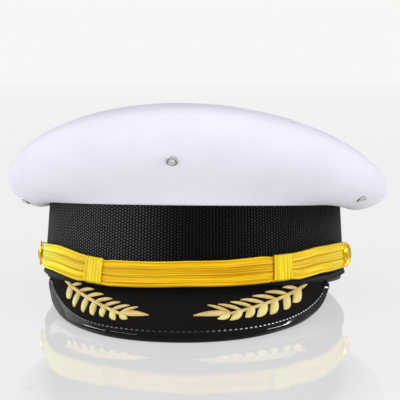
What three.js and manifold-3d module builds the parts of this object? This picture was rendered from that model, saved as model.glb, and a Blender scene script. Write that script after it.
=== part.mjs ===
// A captain's peaked cap: a hollow white cloth crown on a stiff band covered with black braid,
// a visor with a patent leather edge and a pair of embroidered branches, and a gold lace strap
// held by two slides and two buttons. It rests as it would on a table: on the visor's front edge
// and the back of the band. Millimetres, +Z up, front towards -Y.
import * as THREE from "three";
import Module from "manifold-3d";

const wasm = await Module();
wasm.setup();

const degrees = Math.PI / 180;
const clearance = 0.3; // between pieces that touch on the real cap

// Driving dimensions, in the cap's own frame: the band's base lies in z = 0 around the Z axis.
const tilt = 5.8 * degrees; // how far the cap leans back as it rests
const band = {
  halfWidth: 86, // outside of the braid, at the base
  halfLength: 97,
  height: 41.6,
  taper: 0.00073, // share of its width lost for each millimetre of height
  frameWall: 2,
  braidWall: 1.4,
  braidHem: 1.2, // how far the braid stops above the frame's base edge
};
const crownWall = 1.6;
const crownHem = 3.4; // width of the crown's lower edge, which lies on the band's top
const seamGap = 0.6; // groove between the crown's side and its top, at the seam
// The crown's section at the front, side and back, measured outwards and up from the band's top.
const crownSections = {
  front: { out: 30, up: 44, leanOut: 8, leanUp: 16, belly: 18, rollIn: 10, rollUp: 6.5 },
  side: { out: 25, up: 8, leanOut: 8, leanUp: -8.5, belly: 6, rollIn: 13, rollUp: 8 },
  back: { out: 26, up: 15, leanOut: 8, leanUp: 2, belly: 8, rollIn: 12, rollUp: 7 },
};
const sectionBlend = 1.5; // power of the cosine that leads from the side to the front and back
const crownSway = 2; // the soft crown sits this far to the wearer's left of the band
const topCentreUp = 33; // height of the top's middle above the band's top
const topFullness = 1.8; // how soon the top reaches that height

const visor = {
  halfWidth: 75, // outer edge of its binding
  sway: 1.4, // it sits this far to the wearer's left of the band's middle
  reach: 131.1, // front edge, from the cap's centre
  backSet: 22, // centre of the edge's oval, in front of the cap's centre
  power: 0.92, // fullness of that oval
  endAngle: 76 * degrees, // where the edge comes back to the band
  liftPower: 10, // how late the edge leaves the table towards its ends
  board: 2.2,
  bulge: 1.6, // how far its top stands proud of a straight slope
  rootIn: 1, // its root lies under the band, this far inside the braid
  rootDown: 2.2, // and below the band's base
};
const binding = { leather: 1, flap: 3.4, endShare: 0.975 };
const rootWelt = { height: 4.6, out: 3.6, drop: 0.6, end: 61 * degrees, taper: 12 * degrees };

const strap = {
  width: 14,
  thick: 1.9,
  grooveDepth: 0.35,
  frontTop: 14.4, // height of its top edge above the band's base, at the front
  sideTop: 21.6,
  frontLean: 32 * degrees, // its face leans back, and its lower edge rests on the visor's root
  standOff: 1.6, // behind it, where the slides pass
  endPast: 7, // its ends, past the buttons
};
const slide = { long: 10.5, wall: 0.9, proud: 1.5 };
// Each slide stands where it was pushed to, and a little askew across the strap.
const slidePlaces = [
  { name: "strap_slide_left", angle: -29.3 * degrees, skew: 2 * degrees },
  { name: "strap_slide_right", angle: 34.6 * degrees, skew: -2 * degrees },
];
const button = {
  angle: 75.5 * degrees,
  radius: 6.4,
  dome: 2.6,
  rim: 0.9,
  shank: 1.8,
};
// An embroidered branch: a stem from beside the band to near the middle of the visor, with pairs
// of leaves along it. The stem's places are shares of the visor: from its middle to an end, and
// from its root to its edge. Lengths and widths are shares of the visor's depth at its middle.
const branch = {
  root: { around: 0.756, down: 0.1375 },
  bend: { around: 0.5737, down: 0.5708 },
  tip: { around: 0.28, down: 0.6101 },
  stemWidth: 0.044,
  raised: 0.0323,
  base: 0.0073,
  endLeaf: { long: 0.4985, wide: 0.0792, angle: -11 * degrees },
};
// Each pair's place along the stem, and its two leaves: lengths, turns from the stem and width.
const leafPairs = [
  { along: 0.16, innerLong: 0.381, innerTurn: 36, outerLong: 0.425, outerTurn: 13, wide: 0.1 },
  { along: 0.3, innerLong: 0.323, innerTurn: 38, outerLong: 0.367, outerTurn: 24, wide: 0.106 },
  { along: 0.44, innerLong: 0.293, innerTurn: 39, outerLong: 0.358, outerTurn: 24, wide: 0.1085 },
  { along: 0.57, innerLong: 0.293, innerTurn: 39, outerLong: 0.328, outerTurn: 23, wide: 0.1085 },
  { along: 0.7, innerLong: 0.279, innerTurn: 38, outerLong: 0.293, outerTurn: 22, wide: 0.103 },
  { along: 0.83, innerLong: 0.279, innerTurn: 37, outerLong: 0.276, outerTurn: 19, wide: 0.097 },
  { along: 0.97, innerLong: 0.27, innerTurn: 34, outerLong: 0.246, outerTurn: 13, wide: 0.088 },
];
const eyelet = { flange: 3.2, lip: 0.8, barrel: 2.1, bore: 1.4, hole: 2.5 };
const eyeletPlaces = [
  { name: "eyelet_front", angle: -2.1 * degrees, share: 0.53 },
  { name: "eyelet_left", angle: -87 * degrees, share: 0.58 },
  { name: "eyelet_right", angle: 77 * degrees, share: 0.52 },
];

const material = {
  whiteCloth: new THREE.MeshStandardMaterial({ color: 0xe6e4f0, roughness: 0.75 }),
  blackBraid: new THREE.MeshStandardMaterial({ color: 0x1a1a1c, roughness: 0.8 }),
  blackCloth: new THREE.MeshStandardMaterial({ color: 0x201e1c, roughness: 0.9 }),
  patent: new THREE.MeshStandardMaterial({ color: 0x0c0c0e, roughness: 0.15 }),
  board: new THREE.MeshStandardMaterial({ color: 0x2a2826, roughness: 0.8 }),
  goldLace: new THREE.MeshStandardMaterial({ color: 0xf0c030, roughness: 0.45 }),
  goldThread: new THREE.MeshStandardMaterial({ color: 0xdcc070, roughness: 0.5 }),
  gilt: new THREE.MeshStandardMaterial({ color: 0xe8c048, roughness: 0.3, metalness: 1 }),
  nickel: new THREE.MeshStandardMaterial({ color: 0xb8b8bc, roughness: 0.3, metalness: 1 }),
};

// Helpers for grids of points

const vec = (x, y, z) => new THREE.Vector3(x, y, z);
const steps = (count) => Array.from({ length: count + 1 }, (_, i) => i / count);
const mix = THREE.MathUtils.lerp;

// A closed solid between two grids of points, rows by columns. The rows close on themselves
// when wrapped, and so do the columns when looped.
function shell(outer, inner, { wrapped = false, looped = false } = {}) {
  const rows = outer.length;
  const columns = outer[0].length;
  const points = [...outer.flat(), ...inner.flat()];
  const faces = [];
  const triangle = (a, b, c) => {
    const gap = (p, q) => points[p].distanceTo(points[q]);
    if (Math.min(gap(a, b), gap(b, c), gap(c, a)) > 0.002) faces.push(a, b, c);
  };
  const quad = (a, b, c, d) => {
    triangle(a, b, c);
    triangle(a, c, d);
  };
  const at = (side, i, j) => side * rows * columns + (i % rows) * columns + (j % columns);
  const rowEnd = wrapped ? rows : rows - 1;
  const columnEnd = looped ? columns : columns - 1;
  for (let i = 0; i < rowEnd; i++) {
    for (let j = 0; j < columnEnd; j++) {
      quad(at(0, i, j), at(0, i + 1, j), at(0, i + 1, j + 1), at(0, i, j + 1));
      quad(at(1, i, j), at(1, i, j + 1), at(1, i + 1, j + 1), at(1, i + 1, j));
    }
    if (!looped) {
      const last = columns - 1;
      quad(at(0, i, 0), at(1, i, 0), at(1, i + 1, 0), at(0, i + 1, 0));
      quad(at(0, i, last), at(0, i + 1, last), at(1, i + 1, last), at(1, i, last));
    }
  }
  if (!wrapped) {
    for (let j = 0; j < columnEnd; j++) {
      const last = rows - 1;
      quad(at(0, 0, j), at(0, 0, j + 1), at(1, 0, j + 1), at(1, 0, j));
      quad(at(0, last, j), at(1, last, j), at(1, last, j + 1), at(0, last, j + 1));
    }
  }
  return solid(points, faces);
}

// A manifold-3d solid of these faces, turned so that they face out.
function solid(points, faces) {
  let volume = 0;
  for (let i = 0; i < faces.length; i += 3) {
    const [a, b, c] = [points[faces[i]], points[faces[i + 1]], points[faces[i + 2]]];
    volume += a.dot(b.clone().cross(c));
  }
  const turned = volume < 0;
  const triVerts = new Uint32Array(faces.length);
  for (let i = 0; i < faces.length; i += 3) {
    triVerts[i] = faces[i];
    triVerts[i + 1] = turned ? faces[i + 2] : faces[i + 1];
    triVerts[i + 2] = turned ? faces[i + 1] : faces[i + 2];
  }
  const mesh = new wasm.Mesh({
    numProp: 3,
    vertProperties: new Float32Array(points.flatMap((p) => [p.x, p.y, p.z])),
    triVerts,
  });
  mesh.merge();
  return new wasm.Manifold(mesh);
}

// The grid moved along its own normals. The normals point to the left of a step along a
// column's direction seen with the rows running on.
function moved(grid, distance, wrapped = false) {
  const rows = grid.length;
  const columns = grid[0].length;
  return grid.map((row, i) =>
    row.map((point, j) => {
      const before = grid[wrapped ? (i + rows - 1) % rows : Math.max(i - 1, 0)][j];
      const after = grid[wrapped ? (i + 1) % rows : Math.min(i + 1, rows - 1)][j];
      const alongRow = after.clone().sub(before);
      const alongColumn = row[Math.min(j + 1, columns - 1)].clone().sub(row[Math.max(j - 1, 0)]);
      const normal = alongRow.cross(alongColumn).normalize();
      return point.clone().addScaledVector(normal, distance);
    }),
  );
}

function meshOf(made, name, look) {
  const { vertProperties, triVerts } = made.getMesh();
  const geometry = new THREE.BufferGeometry();
  geometry.setAttribute("position", new THREE.BufferAttribute(vertProperties, 3));
  geometry.setIndex(new THREE.BufferAttribute(triVerts, 1));
  geometry.computeVertexNormals();
  const mesh = new THREE.Mesh(geometry, look);
  mesh.name = name;
  return mesh;
}

// The solid of a lathe profile around Z, placed with its axis along a direction.
function turned(profile, segments, place, direction) {
  const geometry = new THREE.LatheGeometry(
    profile.map(([r, z]) => new THREE.Vector2(r, z)),
    segments,
  );
  const up = new THREE.Quaternion().setFromUnitVectors(vec(0, 1, 0), direction);
  const points = [];
  const position = geometry.getAttribute("position");
  for (let i = 0; i < position.count; i++) {
    points.push(vec(0, 0, 0).fromBufferAttribute(position, i).applyQuaternion(up).add(place));
  }
  const faces = [];
  const index = [...geometry.getIndex().array];
  for (let i = 0; i < index.length; i += 3) {
    const [a, b, c] = index.slice(i, i + 3).map((n) => points[n]);
    const smallest = Math.min(a.distanceTo(b), b.distanceTo(c), c.distanceTo(a));
    if (smallest > 1e-4) faces.push(...index.slice(i, i + 3));
  }
  return solid(points, faces);
}

// The band

// A point on the outside of the braid, moved outwards. Angle 0 is the front.
function bandPoint(angle, z, out = 0) {
  const share = 1 - band.taper * z;
  const a = band.halfWidth * share;
  const b = band.halfLength * share;
  const outward = bandOutward(angle);
  return vec(a * Math.sin(angle), -b * Math.cos(angle), z).addScaledVector(outward, out);
}

function bandOutward(angle) {
  return vec(Math.sin(angle) / band.halfWidth, -Math.cos(angle) / band.halfLength, 0).normalize();
}

const bandTurns = 48;
const aroundBand = steps(bandTurns)
  .slice(0, -1)
  .map((share) => share * 2 * Math.PI);

function bandRing(low, high, outside, wall) {
  const heights = [low, high];
  const outer = aroundBand.map((angle) => heights.map((z) => bandPoint(angle, z, outside)));
  const inner = aroundBand.map((angle) => heights.map((z) => bandPoint(angle, z, outside - wall)));
  return shell(outer, inner, { wrapped: true });
}

const frameOut = -band.braidWall - clearance;

function bandFrame() {
  return bandRing(0, band.height, frameOut, band.frameWall);
}

function bandBraid() {
  return bandRing(band.braidHem, band.height, 0, band.braidWall);
}

// The crown

function crownSection(angle) {
  const cosine = Math.cos(angle);
  const towards = Math.abs(cosine) ** sectionBlend;
  const end = cosine > 0 ? crownSections.front : crownSections.back;
  const values = {};
  for (const key of Object.keys(end)) values[key] = mix(crownSections.side[key], end[key], towards);
  return values;
}

// Outwards and up from the band's top, along the crown's side from the hem (0) to the widest
// line (1).
function sidePoint(section, share) {
  const curve = new THREE.CubicBezierCurve(
    new THREE.Vector2(0, clearance),
    new THREE.Vector2(section.leanOut, section.leanUp),
    new THREE.Vector2(section.out, section.up - section.belly),
    new THREE.Vector2(section.out, section.up),
  );
  return curve.getPoint(share);
}

function crownPoint(angle, [out, up]) {
  const foot = bandPoint(angle, band.height);
  const sway = crownSway * THREE.MathUtils.smoothstep(out, 0, crownSections.side.out);
  return foot.addScaledVector(bandOutward(angle), out).add(vec(sway, 0, up));
}

// One row of the crown's side: the hem, the side, and the roll that leads to the seam.
function sideRow(angle) {
  const section = crownSection(angle);
  const hem = [[-crownHem, clearance], [-crownHem / 2, clearance]];
  const side = steps(6).map((share) => sidePoint(section, share).toArray());
  const roll = steps(3).slice(1).map((share) => {
    const turn = (share * Math.PI) / 2;
    const out = section.out - section.rollIn * (1 - Math.cos(turn));
    return [out, section.up + section.rollUp * Math.sin(turn)];
  });
  return [...hem, ...side, ...roll].map((place) => crownPoint(angle, place));
}

const sideGrid = aroundBand.map(sideRow);

function topRow(angle, row) {
  const seam = row[row.length - 1];
  const centre = vec(crownSway, 0, band.height + topCentreUp);
  const start = seamGap / seam.distanceTo(centre);
  return steps(5).map((share) => {
    const inwards = start + (1 - start) * share;
    const rise = 1 - (1 - inwards) ** topFullness;
    return vec(
      mix(seam.x, centre.x, inwards),
      mix(seam.y, centre.y, inwards),
      mix(seam.z, centre.z, rise),
    );
  });
}

const topGrid = aroundBand.map((angle, i) => topRow(angle, sideGrid[i]));

function crownTop() {
  const under = topGrid.map((row) => row.map((point) => point.clone().add(vec(0, 0, -crownWall))));
  return shell(topGrid, under, { wrapped: true });
}

// Where an eyelet sits on the crown's side, and the way that it faces.
function eyeletSeat({ angle, share }) {
  const at = (turn, along) => crownPoint(turn, sidePoint(crownSection(turn), along).toArray());
  const along = at(angle, share + 0.02).sub(at(angle, share - 0.02));
  const across = at(angle + 0.02, share).sub(at(angle - 0.02, share));
  const direction = across.cross(along).normalize();
  return { place: at(angle, share), direction };
}

function crownSide() {
  const made = shell(sideGrid, moved(sideGrid, -crownWall, true), { wrapped: true });
  const holes = eyeletPlaces.map((spot) => {
    const { place, direction } = eyeletSeat(spot);
    const base = place.clone().addScaledVector(direction, -4);
    return turned([[0, 0], [eyelet.hole, 0], [eyelet.hole, 8], [0, 8]], 16, base, direction);
  });
  return made.subtract(wasm.Manifold.union(holes));
}

function eyeletRing(spot) {
  const { place, direction } = eyeletSeat(spot);
  const low = -crownWall - 0.8;
  const profile = [
    [eyelet.bore, low],
    [eyelet.barrel, low],
    [eyelet.barrel, clearance],
    [eyelet.flange, clearance],
    [eyelet.flange, clearance + eyelet.lip * 0.5],
    [eyelet.flange - 0.4, clearance + eyelet.lip],
    [eyelet.bore, clearance + eyelet.lip],
    [eyelet.bore, low],
  ];
  return turned(profile, 12, place, direction);
}

// The visor

const edgeHalf = visor.board / 2 + clearance + binding.leather;

// Height of the table in the cap's own frame, at a distance from its centre.
const frameBack = band.halfLength - band.braidWall - clearance;
const tableHeight = (y) => -(frameBack - y) * Math.tan(tilt);

// The outer edge of the visor's binding, for a share of the way from the front (0) to an end.
function visorEdge(share) {
  const angle = share * visor.endAngle;
  const sine = Math.sign(angle) * Math.abs(Math.sin(angle)) ** visor.power;
  const cosine = Math.cos(angle) ** visor.power;
  const x = visor.halfWidth * sine + visor.sway;
  const y = -(visor.backSet + (visor.reach - visor.backSet) * cosine);
  const table = tableHeight(y);
  const lift = (-visor.rootDown - edgeHalf - table) * Math.abs(share) ** visor.liftPower;
  return vec(x, y, table + lift);
}

const visorEnd = visorEdge(1);
const endAcross = visorEnd.x - visor.sway;
const rootEnd = Math.atan2(endAcross / band.halfWidth, -visorEnd.y / band.halfLength);

function visorRoot(share) {
  return bandPoint(share * rootEnd, 0, -visor.rootIn).add(vec(0, 0, -visor.rootDown));
}

const visorRows = steps(28).map((share) => 2 * share - 1);

// The visor's middle surface between its root (0) and its board's edge (1).
function visorPoint(share, down) {
  const root = visorRoot(share);
  const rim = visorEdge(share);
  const inwards = vec(root.x - rim.x, root.y - rim.y, 0);
  const span = inwards.length();
  inwards.normalize();
  const end = rim.clone().addScaledVector(inwards, Math.min(edgeHalf, span * 0.45));
  end.z += edgeHalf;
  const point = root.clone().lerp(end, down);
  point.z += visor.bulge * 4 * down * (1 - down) * Math.min(1, span / 20);
  return point;
}

const visorGrid = visorRows.map((share) => steps(6).map((down) => visorPoint(share, down)));

function visorBoard() {
  return shell(moved(visorGrid, -visor.board / 2), moved(visorGrid, visor.board / 2));
}

// A patent leather edge folded over the board: a flap on its top, a round edge, a flap below.
function visorBinding() {
  const nudge = 1e-3;
  const loops = (lift) =>
    visorRows.map((row) => {
      const share = row * binding.endShare;
      const edge = visorPoint(share, 1);
      const span = visorPoint(share, 0).distanceTo(edge);
      const flap = Math.min(binding.flap, span * 0.8) / span;
      const frameAt = (down) => {
        const along = visorPoint(share + nudge, down).sub(visorPoint(share - nudge, down));
        const slope = visorPoint(share, down + nudge).sub(visorPoint(share, down - nudge));
        const normal = slope.clone().cross(along).normalize();
        if (normal.z < 0) normal.negate();
        return { point: visorPoint(share, down), normal, slope: slope.normalize() };
      };
      const flapPoints = steps(2).map((part) => frameAt(1 - flap * (1 - part)));
      const top = flapPoints.map((f) => f.point.clone().addScaledVector(f.normal, lift));
      const under = flapPoints.map((f) => f.point.clone().addScaledVector(f.normal, -lift));
      const rim = flapPoints[2];
      const round = [45, 90, 135].map((turn) =>
        rim.point
          .clone()
          .addScaledVector(rim.normal, lift * Math.cos(turn * degrees))
          .addScaledVector(rim.slope, lift * Math.sin(turn * degrees)),
      );
      return [...top, ...round, ...under.reverse()];
    });
  const inside = visor.board / 2 + clearance;
  return shell(loops(inside + binding.leather), loops(inside));
}

// The rolled welt that covers the visor's seam along the band's base.
function welt() {
  const turns = steps(26).map((share) => rootWelt.end * (2 * share - 1));
  const section = [
    { out: 0.55, up: 1 },
    { out: 0.85, up: 0.78 },
    { out: 1, up: 0.45 },
    { out: 0.85, up: 0 },
  ];
  const outer = turns.map((angle) => {
    const size = Math.min(1, 0.3 + (rootWelt.end - Math.abs(angle)) / rootWelt.taper);
    return section.map(({ out, up }) => {
      const height = mix(-rootWelt.drop, rootWelt.height, mix(0.45, up, size));
      return bandPoint(angle, height, clearance + rootWelt.out * out * size);
    });
  });
  const inner = turns.map((angle, i) =>
    outer[i].map((point) => bandPoint(angle, point.z, clearance)),
  );
  return shell(outer, inner);
}

// The embroidered branches

// The branches keep to the visor's depth at its middle, or to its width where it is narrow.
const visorDepth = Math.min(visor.reach - band.halfLength, visor.halfWidth * 0.455);

// The point above the visor's top at a place in plan, found by stepping towards it.
function aboveVisor(x, y, height) {
  const nudge = 1e-3;
  let share = x / visor.halfWidth / 1.6;
  let down = 0.5;
  for (let round = 0; round < 20; round++) {
    const here = visorPoint(share, down);
    const byShare = visorPoint(share + nudge, down).sub(here).divideScalar(nudge);
    const byDown = visorPoint(share, down + nudge).sub(here).divideScalar(nudge);
    const missX = x - here.x;
    const missY = y - here.y;
    const scale = byShare.x * byDown.y - byShare.y * byDown.x;
    share += (missX * byDown.y - missY * byDown.x) / scale;
    down += (byShare.x * missY - byShare.y * missX) / scale;
    share = THREE.MathUtils.clamp(share, -0.96, 0.96);
    down = THREE.MathUtils.clamp(down, 0.02, 0.98);
  }
  const here = visorPoint(share, down);
  const byShare = visorPoint(share + nudge, down).sub(here);
  const byDown = visorPoint(share, down + nudge).sub(here);
  const normal = byDown.cross(byShare).normalize();
  if (normal.z < 0) normal.negate();
  return here.addScaledVector(normal, visor.board / 2 + clearance + height);
}

// A raised blade along a line in plan. Its width and height follow a profile along the line.
function blade(line, width, tall, profile) {
  const rows = line.map(([x, y], i) => {
    const [beforeX, beforeY] = line[Math.max(i - 1, 0)];
    const [afterX, afterY] = line[Math.min(i + 1, line.length - 1)];
    const sideways = new THREE.Vector2(-(afterY - beforeY), afterX - beforeX).normalize();
    const full = profile(i / (line.length - 1));
    return [-1, 0, 1].map((side) => {
      const reachOut = (side * width * full) / 2;
      const place = [x + sideways.x * reachOut, y + sideways.y * reachOut];
      const height = side === 0 ? tall * (0.45 + 0.55 * full) : branch.base * visorDepth;
      return { place, height };
    });
  });
  const top = rows.map((row) => row.map(({ place, height }) => aboveVisor(...place, height)));
  const base = rows.map((row) => row.map(({ place }) => aboveVisor(...place, 0)));
  return shell(top, base);
}

// The branch on the wearer's left (side 1, towards +X) or right (-1).
function visorBranch(side) {
  const place = ({ around, down }) => {
    const point = visorPoint(side * around, down);
    return new THREE.Vector2(point.x - visorPoint(0, down).x, point.y);
  };
  const tall = branch.raised * visorDepth;
  const leaf = (from, angle, long, wide) => {
    const way = new THREE.Vector2(Math.cos(angle), Math.sin(angle));
    const line = steps(3).map((share) =>
      from.clone().addScaledVector(way, long * visorDepth * share).toArray(),
    );
    return blade(line, wide * visorDepth, tall, leafShape);
  };
  const leafShape = (share) => Math.max(0.1, Math.sin(Math.PI * share ** 0.85) ** 0.8);
  const stem = new THREE.QuadraticBezierCurve(
    place(branch.root),
    place(branch.bend),
    place(branch.tip),
  );
  const stemLine = steps(7).map((share) => stem.getPoint(share).toArray());
  const pieces = [blade(stemLine, branch.stemWidth * visorDepth, tall * 0.8, () => 1)];
  for (const pair of leafPairs) {
    const from = stem.getPoint(pair.along);
    const way = stem.getTangent(pair.along).angle();
    const inner = way - side * pair.innerTurn * degrees;
    const outer = way + side * pair.outerTurn * degrees;
    pieces.push(leaf(from, inner, pair.innerLong, pair.wide));
    pieces.push(leaf(from, outer, pair.outerLong, pair.wide));
  }
  const { long, wide, angle } = branch.endLeaf;
  const inwards = side > 0 ? Math.PI - angle : angle;
  pieces.push(leaf(stem.getPoint(0.97), inwards, long, wide));
  return wasm.Manifold.union(pieces);
}

// The strap, its slides and its buttons

// The strap's outer face at an angle: its top edge, the way across it, and the way it faces.
function strapFace(angle) {
  const side = Math.sin(angle) ** 2;
  const lean = strap.frontLean * (1 - side);
  const height = mix(strap.frontTop, strap.sideTop, side);
  const outward = bandOutward(angle);
  const top = bandPoint(angle, height, strap.standOff + strap.thick);
  const across = outward.clone().multiplyScalar(Math.sin(lean)).add(vec(0, 0, -Math.cos(lean)));
  const facing = outward.clone().multiplyScalar(Math.cos(lean)).add(vec(0, 0, Math.sin(lean)));
  return { top, across, facing };
}

function strapPoint(angle, down, proud) {
  const { top, across, facing } = strapFace(angle);
  return top.clone().addScaledVector(across, down).addScaledVector(facing, proud);
}

// Angle that a length along the band takes near an angle.
const angleOf = (length) => length / band.halfWidth;

const buttonPlaces = [
  { name: "button_left", side: -1 },
  { name: "button_right", side: 1 },
].map((place) => {
  const angle = place.side * button.angle;
  const { facing } = strapFace(angle);
  const centre = strapPoint(angle, strap.width / 2, 0);
  return { ...place, angle, centre, facing };
});

function chinStrap() {
  const last = button.angle + angleOf(strap.endPast);
  const middle = steps(26).map((share) => button.angle * (2 * share - 1));
  const ends = [0.6, 0.9, 1].map((share) => button.angle + angleOf(strap.endPast) * share);
  const turns = [...ends.map((angle) => -angle).reverse(), ...middle, ...ends];
  const grooves = [0, 0.05, 0.22, 0.26, 0.5, 0.54, 0.78, 0.82, 1];
  const deep = new Set([0, 0.26, 0.54, 0.82, 1]);
  const rows = (proud) =>
    turns.map((angle) => {
      const past = Math.max(0, Math.abs(angle) - button.angle) / (last - button.angle);
      const half = (strap.width / 2) * Math.sqrt(1 - 0.96 * past ** 2);
      return grooves.map((share) =>
        strapPoint(angle, strap.width / 2 + half * (2 * share - 1), proud(share)),
      );
    });
  const face = rows((share) => (deep.has(share) ? -strap.grooveDepth : 0));
  const made = shell(face, rows(() => -strap.thick));
  const holes = buttonPlaces.map(({ centre, facing }) => {
    const radius = button.shank + clearance;
    const base = centre.clone().addScaledVector(facing, -strap.thick - 2);
    return turned([[0, 0], [radius, 0], [radius, 8], [0, 8]], 16, base, facing);
  });
  return made.subtract(wasm.Manifold.union(holes));
}

function strapSlide({ angle, skew }) {
  const half = angleOf(slide.long / 2);
  const turns = steps(4).map((share) => angle + half * (2 * share - 1));
  const loop = (room, proud) => {
    const top = -room;
    const bottom = strap.width + room;
    const front = proud;
    const back = -strap.thick - room;
    const corner = 0.5;
    return [
      [top, back],
      [top, front - corner],
      [top + corner, front],
      [mix(top, bottom, 0.35), front],
      [mix(top, bottom, 0.65), front],
      [bottom - corner, front],
      [bottom, front - corner],
      [bottom, back],
    ];
  };
  const rows = (places) =>
    turns.map((turn) =>
      places.map(([down, out]) => {
        const askew = skew * (down / strap.width - 0.5);
        return strapPoint(turn + askew, down, out);
      }),
    );
  const outer = rows(loop(clearance + slide.wall, slide.proud));
  const inner = rows(loop(clearance, clearance));
  return shell(outer, inner, { looped: true });
}

function capButton({ centre, facing }) {
  const behind = -strap.thick - strap.standOff + clearance;
  const dome = steps(3).map((share) => {
    const turn = (share * Math.PI) / 2;
    const radius = (button.radius - 0.9) * Math.cos(turn);
    return [radius, clearance + button.rim + button.dome * Math.sin(turn)];
  });
  const profile = [
    [0, behind],
    [button.shank, behind],
    [button.shank, clearance],
    [button.radius - 0.5, clearance],
    [button.radius, clearance + 0.5],
    [button.radius, clearance + button.rim],
    [button.radius - 0.5, clearance + button.rim + 0.4],
    ...dome,
  ];
  return turned(profile, 16, centre, facing);
}

// The whole cap

const cap = new THREE.Group();
cap.add(
  meshOf(crownSide(), "crown_side", material.whiteCloth),
  meshOf(crownTop(), "crown_top", material.whiteCloth),
  meshOf(bandFrame(), "band_frame", material.board),
  meshOf(bandBraid(), "band_braid", material.blackBraid),
  meshOf(visorBoard(), "visor", material.blackCloth),
  meshOf(visorBinding(), "visor_binding", material.patent),
  meshOf(welt(), "visor_welt", material.patent),
  meshOf(visorBranch(-1), "branch_left", material.goldThread),
  meshOf(visorBranch(1), "branch_right", material.goldThread),
  meshOf(chinStrap(), "chin_strap", material.goldLace),
  ...slidePlaces.map((place) => meshOf(strapSlide(place), place.name, material.goldLace)),
  ...buttonPlaces.map((place) => meshOf(capButton(place), place.name, material.gilt)),
  ...eyeletPlaces.map((spot) => meshOf(eyeletRing(spot), spot.name, material.nickel)),
);

// Leaned back so that the band's back and the visor's edge meet the table, and then centred.
cap.rotation.x = -tilt;
cap.position.z = frameBack * Math.sin(tilt);
const part = new THREE.Group();
part.add(cap);
part.updateMatrixWorld(true);
const reach = new THREE.Box3().setFromObject(part, true);
cap.position.x -= (reach.min.x + reach.max.x) / 2;
cap.position.y -= (reach.min.y + reach.max.y) / 2;
cap.position.z -= reach.min.z;

export default part;
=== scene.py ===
"""A white peaked captain's cap with a gold strap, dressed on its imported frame."""

import math

import bmesh
import bpy
import numpy as np
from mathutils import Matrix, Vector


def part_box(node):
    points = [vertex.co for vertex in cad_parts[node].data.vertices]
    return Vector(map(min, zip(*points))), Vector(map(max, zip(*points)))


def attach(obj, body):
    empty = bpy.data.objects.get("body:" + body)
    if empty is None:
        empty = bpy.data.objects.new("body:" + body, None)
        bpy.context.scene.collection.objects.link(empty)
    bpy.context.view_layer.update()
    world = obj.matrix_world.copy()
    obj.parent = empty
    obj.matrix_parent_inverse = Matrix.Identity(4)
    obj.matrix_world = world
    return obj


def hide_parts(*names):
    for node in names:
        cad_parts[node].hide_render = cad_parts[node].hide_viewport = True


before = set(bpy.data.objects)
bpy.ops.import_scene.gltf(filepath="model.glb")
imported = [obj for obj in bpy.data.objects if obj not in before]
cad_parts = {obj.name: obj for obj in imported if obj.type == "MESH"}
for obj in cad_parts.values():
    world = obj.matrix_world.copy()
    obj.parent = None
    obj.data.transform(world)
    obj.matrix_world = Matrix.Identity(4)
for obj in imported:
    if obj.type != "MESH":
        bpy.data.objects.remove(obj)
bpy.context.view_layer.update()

rad = math.radians

# Sizes in millimetres, in the cap's own frame: the band's base lies in z = 0 around the Z axis,
# and the visor points to -Y. Most of them are those of the part's source. Left and right are as
# seen from the front.

CLEARANCE = 0.3
TILT = rad(5.8)  # how far the cap leans back as it rests

BAND_HALF_WIDTH = 86.0
BAND_HALF_LENGTH = 97.0
BAND_HEIGHT = 41.6
BAND_TAPER = 0.00073  # share of its width lost for each millimetre of height
BRAID_WALL = 1.4
BRAID_HEM = 1.2
BRAID_ROUNDING = 0.25
BRAID_SIDE_HEM = 3.0  # the braid's base rises a little beside and behind the visor
BRAID_HEM_RISES = (rad(56), rad(80))  # between these angles from the front
BRAID_LIP = 0.8  # how far its base turns out at the visor's ends and a little behind them
BRAID_LIP_HEIGHT = 5.0
BRAID_LIP_GROWS = (rad(56), rad(76))
BRAID_LIP_FADES = (rad(100), rad(125))
RIB_PITCH = 1.7  # of the braid's upright ribs
ROW_PITCH = 1.48  # of the slanted threads up each rib

CROWN_WALL = 1.6
CROWN_HEM = 3.4
CROWN_SWAY = 2.0
SECTION_BLEND = 1.5
TOP_CENTRE_UP = 33.0
TOP_FULLNESS = 1.8
# The crown's section at its front, side and back, outwards and up from the band's top.
CROWN_FRONT = {
    "out": 30, "up": 44, "lean_out": 8, "lean_up": 16, "belly": 18, "roll_in": 10, "roll_up": 6.5,
}
CROWN_SIDE = {
    "out": 25, "up": 8, "lean_out": 8, "lean_up": -8.5, "belly": 6, "roll_in": 13, "roll_up": 8,
}
CROWN_BACK = {
    "out": 26, "up": 15, "lean_out": 8, "lean_up": 2, "belly": 8, "roll_in": 12, "roll_up": 7,
}

VISOR_HALF_WIDTH = 75.0
VISOR_SWAY = 0.8
VISOR_REACH = 131.1
VISOR_BACK_SET = 22.0
VISOR_POWER = 0.95
VISOR_END_ANGLE = rad(76)
VISOR_LIFT_POWER = 10
VISOR_BOARD = 2.2
VISOR_BULGE = 1.6
VISOR_LEFT_FLARE = 2.2  # how far its ends swell out beyond its oval
VISOR_RIGHT_FLARE = 3.2
VISOR_FLARE_GROWS = (0.76, 1.0)  # in shares of the way from its middle to an end
VISOR_ROOT_UP = 0.3
BINDING_LEATHER = 1.0
BINDING_FLAP = 1.8
BINDING_LEFT_FLAP = 4.6  # its added width at the visor's sides
BINDING_RIGHT_FLAP = 2.4
BINDING_WIDENS = (0.3, 0.85)
BINDING_THINNED = 0.6  # thickness lost at its sides, above and below the board
BINDING_THINS = (0.3, 0.7)
BINDING_END = 0.995
BINDING_TUCK = 0.4
STITCH_PITCH = 2.8
STITCH_LONG = 0.5  # share of the pitch
STITCH_PLACE = 0.8  # share of the binding's flap, from the board's edge inwards
STITCH_ROW_END = 0.93
STITCH_ARCH = 0.22
STITCH_SUNK = 0.1
STITCH_RADIUS = 0.16
STITCH_SWELL = 0.2
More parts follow.
